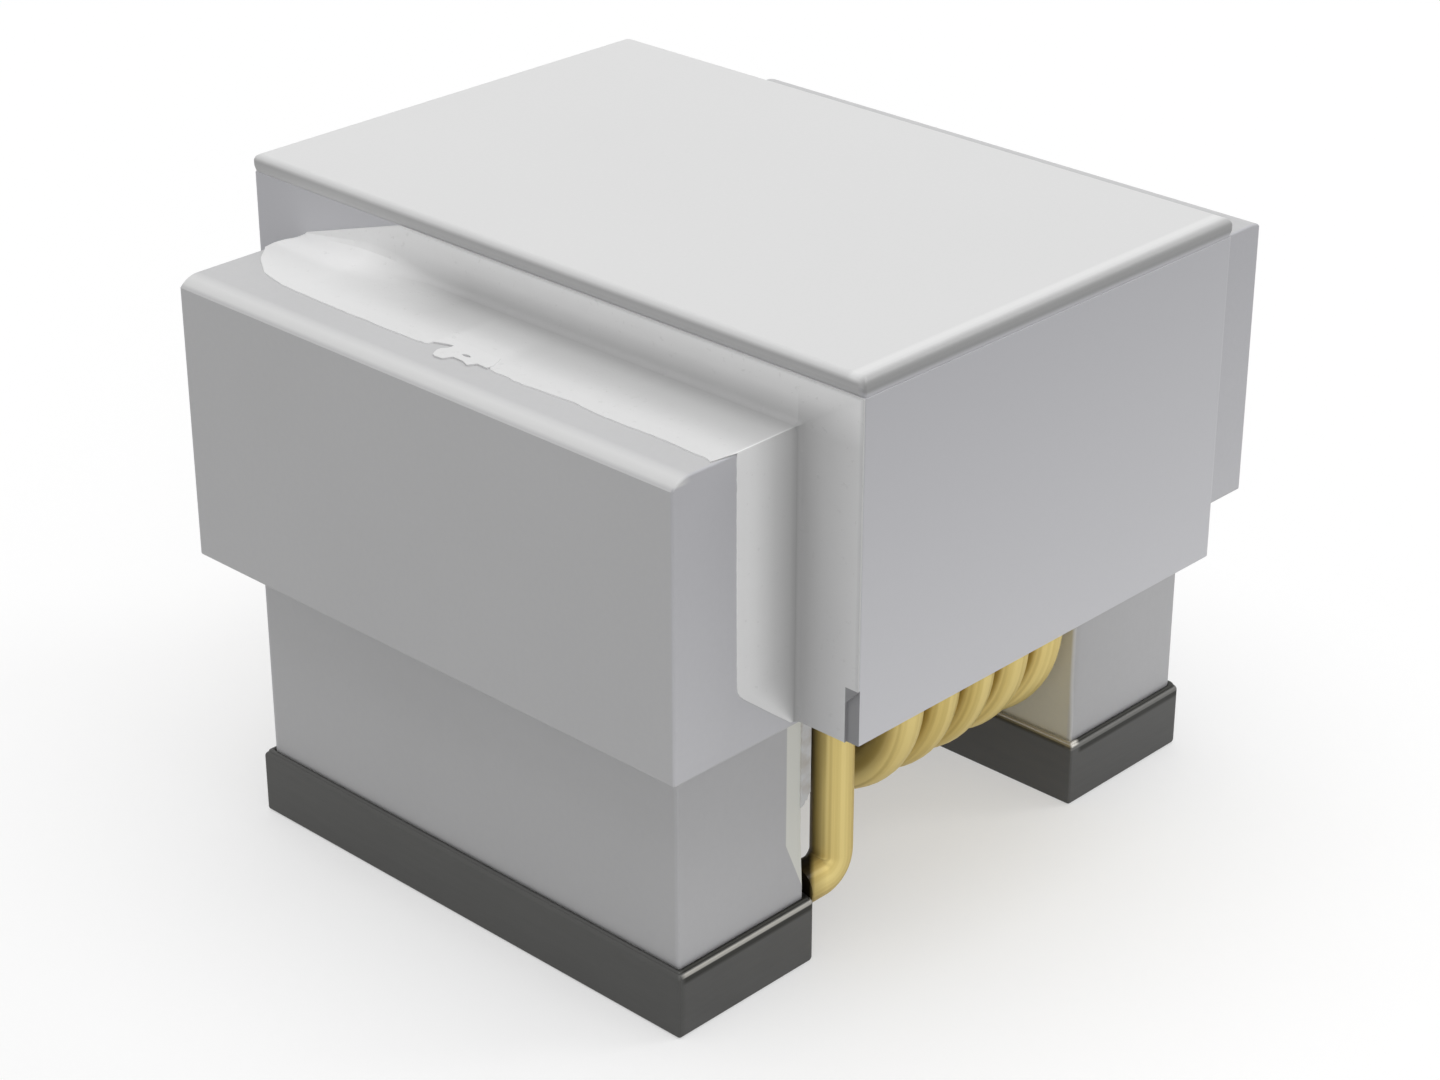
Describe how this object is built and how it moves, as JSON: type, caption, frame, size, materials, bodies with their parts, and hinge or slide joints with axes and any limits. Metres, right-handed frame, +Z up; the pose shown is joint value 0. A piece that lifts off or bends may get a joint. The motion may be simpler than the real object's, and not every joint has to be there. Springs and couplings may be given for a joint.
{
  "type": "chip inductor",
  "caption": "Wire-wound surface-mount inductor: flanged ceramic core on two metal-footed legs, enamelled winding round its web, and a bonded flat-topped cap.",
  "frame": {"origin": "middle of the footprint, on the board that the terminals stand on", "axes": "+X along the core from the front terminal to the rear one, +Y across the core, +Z up from the board"},
  "size_m": [0.003, 0.0028, 0.0023],
  "materials": {
    "ceramic": "fired ceramic, matt",
    "enamelled_wire": "golden enamel over copper, satin",
    "terminal_metal": "dark plated metal, satin",
    "cap_plastic": "moulded plastic, matt",
    "resin": "cured resin, whitish, satin"
  },
  "bodies": {
    "root": {"ceramic_core": "ceramic", "winding": "enamelled_wire", "front_terminal": "terminal_metal", "rear_terminal": "terminal_metal", "top_cap": "cap_plastic", "front_resin_fillet": "resin", "rear_resin_fillet": "resin"}
  },
  "joints": []
}
